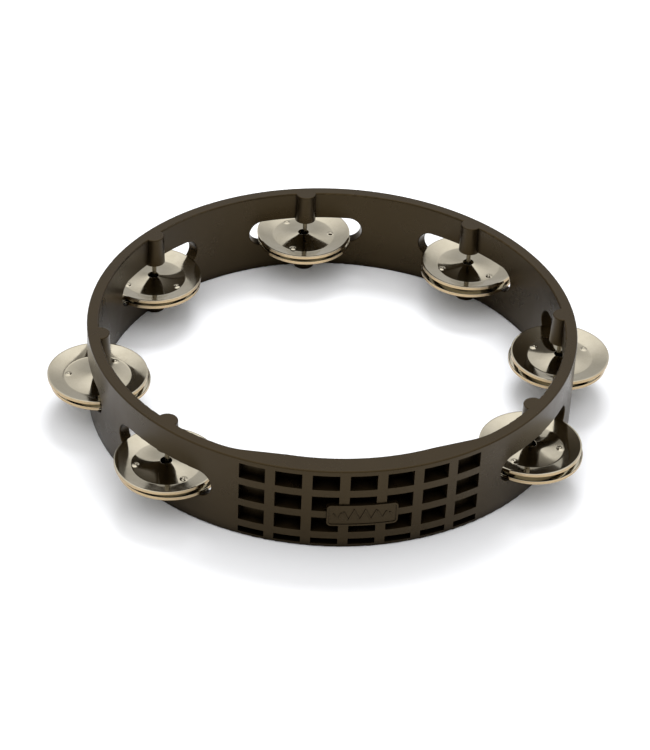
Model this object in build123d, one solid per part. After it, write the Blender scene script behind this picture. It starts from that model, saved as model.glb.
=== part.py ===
from build123d import *
from math import cos, degrees, radians, sin, sqrt
import os

# Headless tambourine: a moulded plastic hoop lying flat, with a thickened grip and seven
# stations.  At each station two sheet-steel jingles hang back to back on a steel pin.
# Millimetres.  Origin: the hoop's axis on the plane it rests on.  +Z up, the grip at -Y.

# ---- hoop ----
hoop_diameter = 254.0
hoop_height = 47.0
wall = 6.3
rim_round = 0.8

# ---- grip, the solid-looking thick part of the hoop that the hand holds ----
grip_wall = 11.0
grip_full_angle = 36.0
grip_blend_angle = 12.5
grip_blend_round = 40.0
grip_skin = 2.4

# ---- stations, as angles round the hoop measured from the middle of the grip ----
station_next_to_grip = 49.0
rear_station_step = 46.0
rear_stations = 5

# ---- bosses that hold the pin above and below the slot ----
pin_inset = 6.0
boss_diameter_at_slot = 11.6
upper_boss_diameter_at_rim = 10.7
lower_boss_diameter_at_rim = 11.5
boss_stand_proud = 0.5
boss_round = 0.5

# ---- pin ----
pin_diameter = 2.4
pin_top_cover = 5.0
pin_head_diameter = 4.4
pin_head_thickness = 0.9
pin_head_recess = 0.7
pin_head_gap = 0.2

# ---- jingle, a dish pressed from sheet: a low crown round its hole, then a valley, then a
# sloping side with its edge turned over ----
jingle_diameter = 52.0
jingle_height = 3.0
jingle_hole_play = 1.8
jingle_crown_below_lip = 0.5
jingle_valley_diameter = 34.4
jingle_lip_width = 0.8
jingle_flange_height = 1.8
sheet = 0.5
valley_round = 3.0
lip_round = 0.3

# ---- slot that a pair of jingles shakes in, with fully rounded ends ----
pair_travel = 7.5
jingle_shares_of_travel = 2
gap_under_pair = 0.5
gap_over_pair = 1.0
gap_beside_pair = 0.5
slot_edge_round = 0.5

# how far each jingle has slipped off centre on its pin, station by station: outwards from the
# hoop's axis, then counterclockwise as seen from above
upper_out = [0.2, 0.5, 0.3, -0.7, -0.2, 1.2, 0.6]
upper_aside = [0.2, -0.3, 0.1, 0.8, 1.0, 0.3, -0.2]
lower_out = [1.1, -0.5, -0.4, 0.4, 0.6, -0.2, -1.1]
lower_aside = [0.2, 0.3, -0.2, 0.3, 0.2, -0.3, 0.1]

# ---- lattice of blind pockets in the grip's outer face ----
pocket_columns = 7
pocket_rows = 4
pocket_width = 13.3
bottom_pocket_height = 3.5
upright_rib = 5.0
cross_rib = 4.1
lattice_top_margin = 2.8
lattice_bottom_margin = 2.0

# ---- plate across the middle of the lattice, with a zigzag in relief ----
plate_width = 35.0
plate_height = 12.5
plate_proud = 0.8
plate_thickness = 2.6
plate_corner = 2.2
plate_field_depth = 0.35
plate_border = 0.9
stroke_width = 0.7
stroke_lean = 24.0
stroke_heights = [2.2, 3.6, 5.0, 6.6, 8.0, 6.6, 8.0, 6.6, 5.0, 3.6, 2.2]

# ---- worked out from the sizes above ----
outer_radius = hoop_diameter / 2
inner_radius = outer_radius - wall
grip_radius = outer_radius - grip_wall
pin_circle_radius = outer_radius - pin_inset
middle_height = hoop_height / 2
jingle_hole_diameter = pin_diameter + 2 * jingle_hole_play
jingle_crown_rise = jingle_height - sheet - jingle_crown_below_lip
slot_height = gap_under_pair + 2 * jingle_height + pair_travel + gap_over_pair
slot_bottom = middle_height - slot_height / 2
slot_top = middle_height + slot_height / 2
slot_end_radius = slot_height / 2
end_loss = slot_end_radius - sqrt(slot_end_radius**2 - (slot_end_radius - gap_under_pair) ** 2)
slot_length = jingle_diameter + 2 * (gap_beside_pair + max(map(abs, lower_aside)) + end_loss)
rear_half = (rear_stations - 1) / 2
rear_angles = [180.0 + (i - rear_half) * rear_station_step for i in range(rear_stations)]
station_angles = [station_next_to_grip] + rear_angles + [360.0 - station_next_to_grip]
pocket_half_angle = degrees(pocket_width / 2 / outer_radius)
pocket_pitch_angle = degrees((pocket_width + upright_rib) / outer_radius)
lattice_top = hoop_height - lattice_top_margin
whole_rows = pocket_rows - 1
lattice_height = lattice_top - lattice_bottom_margin
pocket_pitch_height = (lattice_height - bottom_pocket_height) / whole_rows
pocket_height = pocket_pitch_height - cross_rib
plate_middle_height = lattice_top - 2 * pocket_height - 1.5 * cross_rib
pair_rest_height = slot_bottom + gap_under_pair + jingle_height
jingle_travel = pair_travel / jingle_shares_of_travel
beyond = 10.0


def at_station(angle, radius, height):
    """The place at this angle from the grip, with local X pointing out of the hoop."""
    turn = angle - 90.0
    return Location(
        (radius * cos(radians(turn)), radius * sin(radians(turn)), height), (0, 0, turn)
    )


def ring(inner, outer, bottom, top):
    """A plain ring about the hoop's axis."""
    height = top - bottom
    body = Cylinder(outer, height) - Cylinder(inner, height + 2 * beyond)
    return Location((0, 0, (top + bottom) / 2)) * body


def polar(radius, angle):
    """A point in the base plane at this angle from the middle of the grip."""
    turn = radians(angle - 90.0)
    return (radius * cos(turn), radius * sin(turn))


def hoop_blank():
    """The hoop before its slots: round outside, and thicker inside along the grip."""
    half = grip_full_angle / 2
    blend_end = half + grip_blend_angle
    thin = [polar(inner_radius, blend_end), polar(inner_radius, 180), polar(inner_radius, -blend_end)]
    thick = [polar(grip_radius, -half), polar(grip_radius, 0), polar(grip_radius, half)]
    rear = ThreePointArc(*thin)
    near_side = Line(thin[-1], thick[0])
    middle = ThreePointArc(*thick)
    far_side = Line(thick[-1], thin[0])
    opening = make_face([rear, near_side, middle, far_side])
    opening = fillet(opening.vertices(), grip_blend_round)
    section = make_face(Circle(outer_radius).edges()) - opening
    blank = extrude(section, hoop_height)
    rims = blank.edges().group_by(Axis.Z)[0] + blank.edges().group_by(Axis.Z)[-1]
    return fillet(rims, rim_round)


def slot_cutter(angle):
    """A bar with round ends, laid through the wall along the radius."""
    outline = Plane.YZ * SlotOverall(slot_length, slot_height)
    bar = extrude(outline, wall + 2 * beyond, both=True)
    return at_station(angle, inner_radius + wall / 2, middle_height) * bar


def slot_edges(body):
    """Where the slots break through the hoop's two walls."""
    low = slot_bottom - slot_edge_round
    high = slot_top + slot_edge_round
    return [e for e in body.edges() if low < e.bounding_box().min.Z and e.bounding_box().max.Z < high]


def boss(diameter_at_rim):
    """A tapered boss standing on its rim end, which is rounded."""
    length = slot_bottom + boss_stand_proud
    body = Cone(diameter_at_rim / 2, boss_diameter_at_slot / 2, length)
    body = fillet(body.edges().group_by(Axis.Z)[0], boss_round)
    return Location((0, 0, length / 2)) * body


def boss_pair(angle):
    """The lower boss and the upper one, which hangs from the upper rim."""
    lower = boss(lower_boss_diameter_at_rim)
    upper = mirror(boss(upper_boss_diameter_at_rim), Plane.XY.offset(middle_height))
    return at_station(angle, pin_circle_radius, 0) * (lower + upper)


def pin_hole(angle):
    """The blind hole that grips the pin, with a wider recess below for the pin's head."""
    top = hoop_height - pin_top_cover
    recess = pin_head_recess + pin_head_thickness
    bore = Location((0, 0, top / 2)) * Cylinder(pin_diameter / 2, top)
    seat = Location((0, 0, recess / 2)) * Cylinder(pin_head_diameter / 2 + pin_head_gap, recess)
    return at_station(angle, pin_circle_radius, 0) * (bore + seat)


def inner_wall_radius(angle):
    """The hoop's inner radius at this angle from the middle of the grip, blends included."""
    fade = (abs(angle) - grip_full_angle / 2) / grip_blend_angle
    return grip_radius + min(max(fade, 0), 1) * (inner_radius - grip_radius)


def pocket_cutters():
    """One block for each pocket, shallower where the grip thins out at its two ends.
    The lowest row stops short of the bottom edge."""
    cutters = []
    for column in range(pocket_columns):
        angle = (column - (pocket_columns - 1) / 2) * pocket_pitch_angle
        floor = inner_wall_radius(abs(angle) + pocket_half_angle) + grip_skin
        depth = outer_radius + beyond - floor
        for row in range(pocket_rows):
            top = lattice_top - row * pocket_pitch_height
            bottom = max(top - pocket_height, lattice_bottom_margin)
            place = at_station(angle, floor + depth / 2, (top + bottom) / 2)
            cutters.append(place * Box(depth, pocket_width, top - bottom))
    return cutters


def plate_prism(width, height, corner):
    """A rounded rectangle carried straight out through the front of the grip."""
    outline = Plane.XZ * RectangleRounded(width, height, corner)
    prism = extrude(outline, outer_radius + beyond)
    return Location((0, 0, plate_middle_height)) * prism


def plate():
    """The plate bent to the hoop's curve, with a sunk field and a zigzag left in relief."""
    face_radius = outer_radius + plate_proud
    low = plate_middle_height - plate_height
    high = plate_middle_height + plate_height
    body = ring(face_radius - plate_thickness, face_radius, low, high)
    body = body & plate_prism(plate_width, plate_height, plate_corner)
    field_width = plate_width - 2 * plate_border
    field_height = plate_height - 2 * plate_border
    sunk = ring(face_radius - plate_field_depth, face_radius + beyond, low, high)
    sunk = sunk & plate_prism(field_width, field_height, plate_corner - plate_border)
    step = field_width / (len(stroke_heights) + 1)
    for i, stroke_length in enumerate(stroke_heights):
        lean = stroke_lean if i % 2 else -stroke_lean
        along = (i + 1) * step - field_width / 2
        stroke = Box(stroke_width, 3 * outer_radius, stroke_length)
        sunk = sunk - Location((along, 0, plate_middle_height), (0, lean, 0)) * stroke
    return body - sunk


def hoop():
    """The whole moulding."""
    body = hoop_blank()
    for angle in station_angles:
        body = body - slot_cutter(angle)
    body = fillet(slot_edges(body), slot_edge_round)
    for angle in station_angles:
        body = body + boss_pair(angle)
    for angle in station_angles:
        body = body - pin_hole(angle)
    for cutter in pocket_cutters():
        body = body - cutter
    return body + plate()


def jingle_pin(angle):
    """A nail driven up from below: a round shank and a flat head in its recess."""
    top = hoop_height - pin_top_cover
    shank_length = top - pin_head_recess
    shank_middle = pin_head_recess + shank_length / 2
    shank = Location((0, 0, shank_middle)) * Cylinder(pin_diameter / 2, shank_length)
    head_middle = pin_head_recess + pin_head_thickness / 2
    head = Location((0, 0, head_middle)) * Cylinder(pin_head_diameter / 2, pin_head_thickness)
    return at_station(angle, pin_circle_radius, 0) * (shank + head)


def jingle():
    """A dish opening upwards, the underside of its valley on the plane Z = 0."""
    hole = jingle_hole_diameter / 2
    valley = jingle_valley_diameter / 2
    half_way = (hole + valley) / 2
    edge = jingle_diameter / 2
    lip = edge - jingle_lip_width
    flange_bottom = jingle_height - jingle_flange_height
    rim = [
        (valley, sheet),
        (lip, jingle_height),
        (edge, jingle_height),
        (edge, flange_bottom),
        (edge - sheet, flange_bottom),
        (edge - sheet, jingle_height - sheet),
        (lip, jingle_height - sheet),
        (valley, 0),
    ]
    crown = [(hole, jingle_crown_rise), (half_way, jingle_crown_rise / 4), (valley, 0)]
    raised = [(x, y + sheet) for x, y in crown]
    outline = [ThreePointArc(*raised), Polyline(rim), ThreePointArc(*crown), Line(crown[0], raised[0])]
    section = make_face(outline)
    bends = [v for v in section.vertices() if abs(v.X - valley) < sheet]
    section = fillet(bends, valley_round)
    edges = [v for v in section.vertices() if v.X > lip - sheet and v.Y > jingle_height - sheet / 2]
    section = fillet(edges, lip_round)
    return revolve(Plane.XZ * section, Axis.Z)


def pair_place(index, out, aside):
    """The plane where a resting pair touches, moved by this much off its pin."""
    place = at_station(station_angles[index], pin_circle_radius, pair_rest_height)
    return place * Location((out, aside, 0))


def upper_jingle(index):
    """The upper one of a pair, opening upwards, at rest."""
    return pair_place(index, upper_out[index], upper_aside[index]) * jingle()


def lower_jingle(index):
    """The lower one of a pair, the same pressing turned over, at rest."""
    turned_over = mirror(jingle(), Plane.XY)
    return pair_place(index, lower_out[index], lower_aside[index]) * turned_over


def save(shape, name):
    """One file for each sub-part."""
    shape.label = name
    export_step(shape, "parts/" + name + ".step")


os.makedirs("parts", exist_ok=True)
save(hoop(), "hoop")
for index, angle in enumerate(station_angles):
    number = str(index + 1)
    save(jingle_pin(angle), "jingle_pin_" + number)
    save(upper_jingle(index), "upper_jingle_" + number)
    save(lower_jingle(index), "lower_jingle_" + number)
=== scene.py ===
from math import cos, radians, sin

import bmesh
import bpy
import numpy as np
from mathutils import Matrix, Vector


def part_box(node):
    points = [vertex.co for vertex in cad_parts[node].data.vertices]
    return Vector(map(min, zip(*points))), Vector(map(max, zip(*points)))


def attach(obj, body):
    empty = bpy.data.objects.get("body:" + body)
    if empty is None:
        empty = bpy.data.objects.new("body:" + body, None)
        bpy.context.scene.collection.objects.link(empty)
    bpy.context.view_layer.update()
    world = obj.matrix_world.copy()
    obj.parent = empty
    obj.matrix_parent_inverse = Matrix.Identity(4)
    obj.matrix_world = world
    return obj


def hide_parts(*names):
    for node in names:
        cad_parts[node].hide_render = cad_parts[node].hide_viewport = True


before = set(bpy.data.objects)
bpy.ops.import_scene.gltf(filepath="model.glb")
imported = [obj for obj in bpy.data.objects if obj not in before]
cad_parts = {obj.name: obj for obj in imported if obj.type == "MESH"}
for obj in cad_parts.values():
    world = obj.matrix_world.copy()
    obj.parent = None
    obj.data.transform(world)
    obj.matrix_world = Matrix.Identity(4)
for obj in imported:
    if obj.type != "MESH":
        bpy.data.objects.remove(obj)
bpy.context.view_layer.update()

MM = 0.001
stations = range(1, 8)

# ---- camera: a long lens, held high in front of the grip and a little to its left ----
camera_aim = Vector((-4.5, -12.2, 20.0)) * MM
camera_distance = 1316.9 * MM
camera_turn = radians(8.44)
camera_down = radians(36.47)
camera_roll = radians(2.64)
camera_lens = 121.4

# ---- jingle: heights are above its contact ring, the lowest part of the dish ----
hole_radius = 3.0
valley_radius = 17.2
lip_radius = 25.2
lip_underside_radius = 25.15
flange_inside_radius = 25.5
edge_radius = 25.99
sheet = 0.5
jingle_height = 3.0
flange_bottom = 1.2
groove_height = 2.22
groove_half_width = 0.14
groove_depth = 0.15
# turned profile, from the hole outwards over the dish and back underneath; each corner is
# (distance from the jingle's axis, height, corner radius)
jingle_profile = [
    (hole_radius, sheet, 0.15),
    (valley_radius, sheet, 3.0),
    (lip_radius, jingle_height, 0.3),
    (edge_radius, jingle_height, 0.25),
    (edge_radius, groove_height + groove_half_width, 0.05),
    (edge_radius - groove_depth, groove_height, 0.08),
    (edge_radius, groove_height - groove_half_width, 0.05),
    (edge_radius, flange_bottom, 0.18),
    (flange_inside_radius, flange_bottom, 0.18),
    (flange_inside_radius, jingle_height - sheet, 0.12),
    (lip_underside_radius, jingle_height - sheet, 0.1),
    (valley_radius, 0.0, 3.0),
    (hole_radius, 0.0, 0.15),
]
crown_rise = 2.0
jingle_columns = 256
crown_step = 0.8
dimple_step = 0.25
jingle_dimples = 3
dimple_circle = 15.3
dimple_radius = 2.1
dimple_rise = 0.75
dimple_eye_radius = 0.9
dimple_eye_depth = 0.55
# how far each jingle has turned on its pin, in degrees, station by station
upper_turns = [108, 22, 70, 1, 83, 50, 61]
lower_turns = [80, 15, 100, 40, 62, 95, 5]

# ---- pin: a nail with a flat head, its profile from the head's middle to the tip ----
head_radius = 2.2
head_thickness = 0.9
shank_radius = 1.2
pin_length = 41.3
pin_columns = 64
pin_profile = [
    (0.0, 0.0, 0.01),
    (head_radius, 0.0, 0.25),
    (head_radius, head_thickness, 0.2),
    (shank_radius, head_thickness, 0.1),
    (shank_radius, pin_length, 0.35),
    (0.0, pin_length, 0.01),
]


def linear(hex_colour):
    """An sRGB hex colour as linear RGBA: the standard curve, channel by channel."""
    channels = np.array([int(hex_colour[i:i + 2], 16) for i in (1, 3, 5)]) / 255
    curve = np.where(channels <= 0.04045, channels / 12.92, ((channels + 0.055) / 1.055) ** 2.4)
    return (*curve.tolist(), 1.0)


def add_node(tree, kind, settings, feeds):
    """One node: its own settings by name, and its sockets fed by a value or by an output."""
    made = tree.nodes.new(kind)
    for name, value in settings.items():
        setattr(made, name, value)
    for socket, value in feeds.items():
        if isinstance(value, bpy.types.NodeSocket):
            tree.links.new(value, made.inputs[socket])
        else:
            made.inputs[socket].default_value = value
    return made.outputs


def new_material(name):
    """An empty node material and its tree."""
    material = bpy.data.materials.new(name)
    material.use_nodes = True
    material.node_tree.nodes.clear()
    return material, material.node_tree


def moulded_abs():
    """Injection-moulded ABS, dark brown-black.  A satin skin: broad soft highlights, faint
    cloudy flow marks some 20 mm across, and a fine 0.4 mm grain from the spark-eroded mould.
    Deep in the pockets and other recesses an ambient-occlusion term darkens the colour and cuts the
    specular level: painted shade."""
    material, tree = new_material("moulded_black_brown_abs")
    place = add_node(tree, "ShaderNodeTexCoord", {}, {})["Object"]
    flow = add_node(tree, "ShaderNodeTexNoise", {}, {
        "Vector": place, "Scale": 1 / (20 * MM), "Detail": 3.0, "Roughness": 0.6})
    grain = add_node(tree, "ShaderNodeTexNoise", {}, {
        "Vector": place, "Scale": 1 / (0.4 * MM), "Detail": 2.0})
    skin = add_node(tree, "ShaderNodeMix", {"data_type": "RGBA"}, {
        "Factor": flow["Fac"], 6: linear("#150F07"), 7: linear("#241C10")})
    # Painted shade: where ambient occlusion is low (pockets, under bosses, recesses) the colour goes
    # towards #060402 and the specular level drops.
    open_air = add_node(tree, "ShaderNodeAmbientOcclusion", {"samples": 8}, {"Distance": 8 * MM})
    painted_pocket_shade = add_node(tree, "ShaderNodeMapRange", {}, {
        "Value": open_air["AO"], "From Min": 0.4, "From Max": 0.85, "To Min": 0.1, "To Max": 1.0})
    colour = add_node(tree, "ShaderNodeMix", {"data_type": "RGBA"}, {
        "Factor": painted_pocket_shade["Result"], 6: linear("#060402"), 7: skin[2]})
    pocket_shaded_specular = add_node(tree, "ShaderNodeMath", {"operation": "MULTIPLY"}, {0: painted_pocket_shade["Result"], 1: 0.5})
    gloss = add_node(tree, "ShaderNodeMapRange", {}, {
        "Value": flow["Fac"], "From Min": 0.3, "From Max": 0.7, "To Min": 0.24, "To Max": 0.36})
    relief = add_node(tree, "ShaderNodeBump", {}, {
        "Height": grain["Fac"], "Strength": 0.12, "Distance": 0.05 * MM})
    shader = add_node(tree, "ShaderNodeBsdfPrincipled", {}, {
        "Base Color": colour[2], "Roughness": gloss["Result"], "Normal": relief["Normal"],
        "IOR": 1.45, "Specular IOR Level": pocket_shaded_specular[0], "Specular Tint": linear("#EFD09A")})
    add_node(tree, "ShaderNodeOutputMaterial", {}, {"Surface": shader[0]})
    return material


def nickel_plate():
    """Bright nickel plate on pressed steel.  Near-mirror, slightly warm; the pressing leaves the
    dish a little wavy over 8 mm, and handling leaves it a little hazy in patches.  Steep faces,
    the flanges and the hole's edge, are tinted gold: a painted reflection of warm bounced light."""
    material, tree = new_material("bright_nickel_plate_on_steel")
    place = add_node(tree, "ShaderNodeTexCoord", {}, {})
    haze = add_node(tree, "ShaderNodeTexNoise", {}, {
        "Vector": place["Object"], "Scale": 1 / (9 * MM), "Detail": 4.0, "Roughness": 0.65})
    wave = add_node(tree, "ShaderNodeTexNoise", {}, {
        "Vector": place["Object"], "Scale": 1 / (8 * MM), "Detail": 1.0})
    plate = add_node(tree, "ShaderNodeMix", {"data_type": "RGBA"}, {
        "Factor": haze["Fac"], 6: linear("#C6C0B1"), 7: linear("#AFA896")})
    # Painted reflection: faces that stand steeply are tinted gold (#B08C50), standing in for the warm
    # light bouncing between the paired jingles.
    upright = add_node(tree, "ShaderNodeSeparateXYZ", {}, {"Vector": place["Normal"]})
    steep = add_node(tree, "ShaderNodeMath", {"operation": "ABSOLUTE"}, {0: upright["Z"]})
    painted_warm_reflection = add_node(tree, "ShaderNodeMapRange", {}, {
        "Value": steep[0], "From Min": 0.15, "From Max": 0.7, "To Min": 0.65, "To Max": 0.0})
    colour = add_node(tree, "ShaderNodeMix", {"data_type": "RGBA"}, {
        "Factor": painted_warm_reflection["Result"], 6: plate[2], 7: linear("#B08C50")})
    gloss = add_node(tree, "ShaderNodeMapRange", {}, {
        "Value": haze["Fac"], "From Min": 0.35, "From Max": 0.7, "To Min": 0.05, "To Max": 0.14})
    relief = add_node(tree, "ShaderNodeBump", {}, {
        "Height": wave["Fac"], "Strength": 0.25, "Distance": 0.1 * MM})
    shader = add_node(tree, "ShaderNodeBsdfPrincipled", {}, {
        "Base Color": colour[2], "Metallic": 1.0, "Roughness": gloss["Result"],
        "Normal": relief["Normal"]})
    add_node(tree, "ShaderNodeOutputMaterial", {}, {"Surface": shader[0]})
    return material


def drawn_steel():
    """Drawn steel wire, lightly polished.  The die leaves faint marks along the shank."""
    material, tree = new_material("polished_drawn_steel")
    place = add_node(tree, "ShaderNodeTexCoord", {}, {})["Object"]
    along = add_node(tree, "ShaderNodeMapping", {}, {"Vector": place, "Scale": (1.0, 1.0, 0.05)})
    marks = add_node(tree, "ShaderNodeTexNoise", {}, {
        "Vector": along["Vector"], "Scale": 1 / (0.3 * MM), "Detail": 2.0})
    colour = add_node(tree, "ShaderNodeMix", {"data_type": "RGBA"}, {
        "Factor": marks["Fac"], 6: linear("#A59C88"), 7: linear("#8D8472")})
    gloss = add_node(tree, "ShaderNodeMapRange", {}, {
        "Value": marks["Fac"], "From Min": 0.3, "From Max": 0.7, "To Min": 0.16, "To Max": 0.28})
    shader = add_node(tree, "ShaderNodeBsdfPrincipled", {}, {
        "Base Color": colour[2], "Metallic": 1.0, "Roughness": gloss["Result"]})
    add_node(tree, "ShaderNodeOutputMaterial", {}, {"Surface": shader[0]})
    return material


def rounded(corners, steps, closed):
    """A turned profile with its corners rounded.  At each corner the arc's centre lies on the
    bisector, radius / sin(half angle) away, and the arc runs between the two tangent points."""
    data = np.array(corners, float)
    point, radius = data[:, :2], data[:, 2:]
    before = np.roll(point, 1, 0) - point
    after = np.roll(point, -1, 0) - point
    before /= np.linalg.norm(before, axis=1, keepdims=True)
    after /= np.linalg.norm(after, axis=1, keepdims=True)
    half = np.arccos(np.clip((before * after).sum(1, keepdims=True), -1, 1)) / 2
    middle = before + after
    centre = point + middle / np.linalg.norm(middle, axis=1, keepdims=True) * radius / np.sin(half)
    reach = radius / np.tan(half)
    first = (point + before * reach - centre) / radius
    last = (point + after * reach - centre) / radius
    sweep = np.pi - 2 * half
    share = np.linspace(0, 1, steps)[None, :, None]
    arc = (np.sin((1 - share) * sweep[:, None]) * first[:, None]
           + np.sin(share * sweep[:, None]) * last[:, None]) / np.sin(sweep[:, None])
    path = centre[:, None] + radius[:, None] * arc
    if not closed:
        path[0] = point[0]
        path[-1] = point[-1]
    return path.reshape(-1, 2)


def refined(path, near, width, step, closed):
    """The same path with extra points: every step within width of the radius near, and one
    0.1 mm beyond the ends of every longer run, which keeps the flats evenly shaded."""
    loop = np.vstack([path, path[:1]]) if closed else path
    run = np.linalg.norm(np.diff(loop, axis=0), axis=1)
    walk = np.concatenate([[0.0], np.cumsum(run)])
    fine = np.arange(0, walk[-1], step)
    fine = fine[np.abs(np.interp(fine, walk, loop[:, 0]) - near) < width]
    long_run = run > 0.5
    guards = np.concatenate([walk[:-1][long_run] + 0.1, walk[1:][long_run] - 0.1])
    kept = walk[:-1] if closed else walk
    stops = np.unique(np.round(np.concatenate([kept, fine, guards]), 5))
    return np.column_stack([np.interp(stops, walk, loop[:, 0]), np.interp(stops, walk, loop[:, 1])])


def grid_faces(rows, columns, rows_closed):
    """Four-sided faces between neighbouring rows and columns; the columns close on themselves."""
    row = np.arange(rows if rows_closed else rows - 1)[:, None]
    column = np.arange(columns)[None, :]
    next_row = (row + 1) % rows
    next_column = (column + 1) % columns
    corners = [row * columns + column, row * columns + next_column,
               next_row * columns + next_column, next_row * columns + column]
    return np.stack(corners, -1).reshape(-1, 4)


def new_piece(name, points, faces, material, body, slot, *nodes):
    """A smooth mesh object in the frame's place, its doubled points merged and its faces
    turned outwards, riding on a body and standing for the CAD nodes."""
    mesh = bpy.data.meshes.new(name)
    mesh.from_pydata(points.reshape(-1, 3), [], faces.tolist())
    shell = bmesh.new()
    shell.from_mesh(mesh)
    bmesh.ops.remove_doubles(shell, verts=shell.verts, dist=1e-7)
    bmesh.ops.recalc_face_normals(shell, faces=shell.faces)
    shell.to_mesh(mesh)
    shell.free()
    mesh.shade_smooth()
    mesh.materials.append(material)
    piece = bpy.data.objects.new(name, mesh)
    bpy.context.scene.collection.objects.link(piece)
    even = piece.modifiers.new("even_shading", "WEIGHTED_NORMAL")
    even.weight = 100
    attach(piece, body)
    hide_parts(*nodes)
    return piece


def turned(profile, columns):
    """A profile of (radius, height) carried round the Z axis."""
    angle = np.linspace(0, 2 * np.pi, columns, endpoint=False)[None, :]
    radius, height = profile[:, :1], profile[:, 1:]
    flat = np.ones_like(angle)
    return np.stack([radius * np.cos(angle), radius * np.sin(angle), height * flat], -1)


def crown_heights(points):
    """How far the crown lifts each point: its rise times the square of how far in the point
    lies, from 0 at the valley to 1 at the hole."""
    away = np.hypot(points[..., 0], points[..., 1])
    return crown_rise * np.clip((valley_radius - away) / (valley_radius - hole_radius), 0, 1) ** 2


def dimple_heights(points, turn):
    """How far the dimples lift each point: a smooth mound round each dimple's centre, less a
    smaller smooth pit in its middle.  Smooth means (1 - d^2)^2 inside the radius, else 0."""
    angle = radians(turn) + np.arange(jingle_dimples) * 2 * np.pi / jingle_dimples
    away_x = points[..., 0, None] - dimple_circle * np.cos(angle)
    away_y = points[..., 1, None] - dimple_circle * np.sin(angle)
    squared = away_x ** 2 + away_y ** 2
    mound = np.clip(1 - squared / dimple_radius ** 2, 0, 1) ** 2 * dimple_rise
    pit = np.clip(1 - squared / dimple_eye_radius ** 2, 0, 1) ** 2 * dimple_eye_depth
    return (mound - pit).sum(-1)


def add_jingle(node, turn, flip, material):
    """One pressed jingle on its CAD node's centre; flip is -1 for one that opens downwards."""
    profile = rounded(jingle_profile, 7, True)
    crown_middle = (valley_radius + hole_radius) / 2
    crown_reach = (valley_radius - hole_radius) / 2 + 0.5
    profile = refined(profile, crown_middle, crown_reach, crown_step, True)
    profile = refined(profile, dimple_circle, dimple_radius + 0.4, dimple_step, True)
    points = turned(profile, jingle_columns)
    points[..., 2] += crown_heights(points) + dimple_heights(points, turn)
    low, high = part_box(node)
    back = low.z if flip > 0 else high.z
    centre = np.array([(low.x + high.x) / 2, (low.y + high.y) / 2, back])
    points = points * np.array([1, 1, flip]) * MM + centre
    faces = grid_faces(len(profile), jingle_columns, True)
    new_piece(node + "_pressing", points, faces, material, node, "jingle_nickel", node)


def add_pin(node, material):
    """One nail, head down, in its CAD node's place."""
    profile = refined(rounded(pin_profile, 6, False), 0, 0, 1, False)
    low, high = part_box(node)
    centre = np.array([(low.x + high.x) / 2, (low.y + high.y) / 2, low.z])
    points = turned(profile, pin_columns) * MM + centre
    faces = grid_faces(len(profile), pin_columns, False)
    new_piece(node + "_nail", points, faces, material, "hoop", "pin_steel", node)


abs_plastic = moulded_abs()
nickel = nickel_plate()
steel = drawn_steel()

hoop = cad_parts["hoop"]
hoop.data.materials.clear()
hoop.data.materials.append(abs_plastic)

for station in stations:
    add_pin(f"jingle_pin_{station}", steel)
    add_jingle(f"upper_jingle_{station}", upper_turns[station - 1], 1, nickel)
    add_jingle(f"lower_jingle_{station}", lower_turns[station - 1], -1, nickel)


def pale_paper():
    """Matt white background paper, very slightly fibrous."""
    material, tree = new_material("matt_white_paper")
    place = add_node(tree, "ShaderNodeTexCoord", {}, {})["Object"]
    fibre = add_node(tree, "ShaderNodeTexNoise", {}, {"Vector": place, "Scale": 1 / (6 * MM)})
    colour = add_node(tree, "ShaderNodeMix", {"data_type": "RGBA"}, {
        "Factor": fibre["Fac"], 6: linear("#F4F6FB"), 7: linear("#F6F8FD")})
    shader = add_node(tree, "ShaderNodeBsdfPrincipled", {}, {
        "Base Color": colour[2], "Roughness": 0.9, "Specular IOR Level": 0.1})
    add_node(tree, "ShaderNodeOutputMaterial", {}, {"Surface": shader[0]})
    return material


floor_reach = 6.0
floor_mesh = bpy.data.meshes.new("paper_floor")
floor_corners = np.array([(-1, -1, 0), (1, -1, 0), (1, 1, 0), (-1, 1, 0)]) * floor_reach
floor_mesh.from_pydata(floor_corners, [], [(0, 1, 2, 3)])
floor_mesh.materials.append(pale_paper())
floor = bpy.data.objects.new("paper_floor", floor_mesh)
bpy.context.scene.collection.objects.link(floor)

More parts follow.
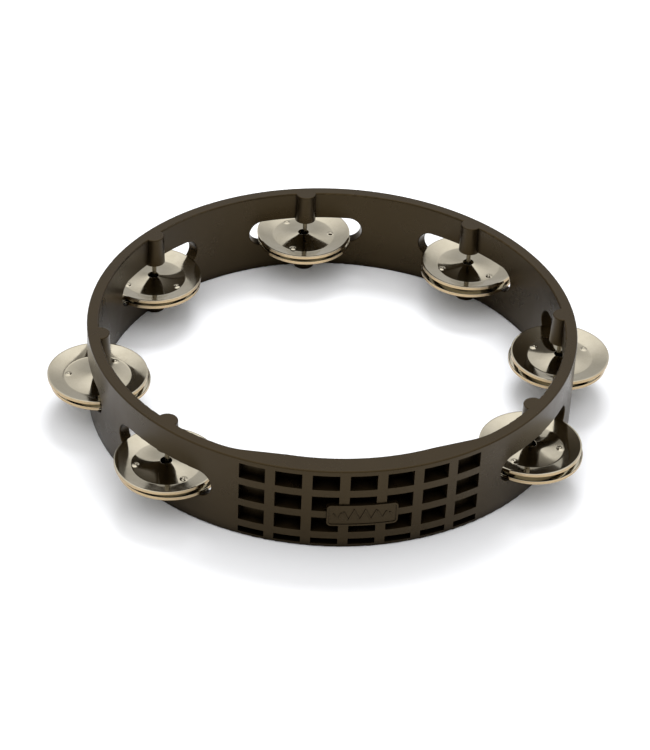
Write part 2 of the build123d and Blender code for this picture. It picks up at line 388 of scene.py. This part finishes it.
# ---- soft studio light: a pale room, brightest overhead, and one large panel behind and above ----
room = bpy.data.worlds.new("pale_room")
room.use_nodes = True
room_tree = room.node_tree
room_tree.nodes.clear()
direction = add_node(room_tree, "ShaderNodeTexCoord", {}, {})["Generated"]
height = add_node(room_tree, "ShaderNodeSeparateXYZ", {}, {"Vector": direction})["Z"]
glow = add_node(room_tree, "ShaderNodeMapRange", {"interpolation_type": "SMOOTHSTEP"}, {
    "Value": height, "From Min": 0.35, "From Max": 1.0, "To Min": 0.62, "To Max": 1.6})
backdrop = add_node(room_tree, "ShaderNodeBackground", {}, {
    "Color": (1.0, 0.985, 0.955, 1.0), "Strength": glow["Result"]})
add_node(room_tree, "ShaderNodeOutputWorld", {}, {"Surface": backdrop[0]})
bpy.context.scene.world = room


def add_panel(name, place, aim, width, height, power):
    """A soft rectangular light panel, facing the point it aims at, and kept out of the
    mirror-bright jingles."""
    light = bpy.data.lights.new(name, "AREA")
    light.shape = "RECTANGLE"
    light.size = width
    light.size_y = height
    light.energy = power
    panel = bpy.data.objects.new(name, light)
    panel.location = place
    panel.visible_glossy = False
    panel.rotation_euler = (Vector(aim) - Vector(place)).to_track_quat("-Z", "Y").to_euler()
    bpy.context.scene.collection.objects.link(panel)


add_panel("rear_panel", (0.2, 1.05, 1.45), (0, 0, 0), 0.9, 0.6, 19)

# ---- camera ----
right = Vector((cos(camera_turn), -sin(camera_turn), 0))
level = cos(camera_down)
ahead = Vector((level * sin(camera_turn), level * cos(camera_turn), -sin(camera_down)))
up = right.cross(ahead)
rolled_right = right * cos(camera_roll) + up * sin(camera_roll)
rolled_up = up * cos(camera_roll) - right * sin(camera_roll)
camera = bpy.data.objects.new("camera", bpy.data.cameras.new("camera"))
camera.data.lens = camera_lens
camera.data.sensor_width = 36.0
camera.data.clip_start = 0.05
camera.data.clip_end = 50.0
turn = Matrix((rolled_right, rolled_up, -ahead)).transposed().to_4x4()
camera.matrix_world = Matrix.Translation(camera_aim - ahead * camera_distance) @ turn
bpy.context.scene.collection.objects.link(camera)
bpy.context.scene.camera = camera
bpy.context.scene.view_settings.view_transform = "Standard"
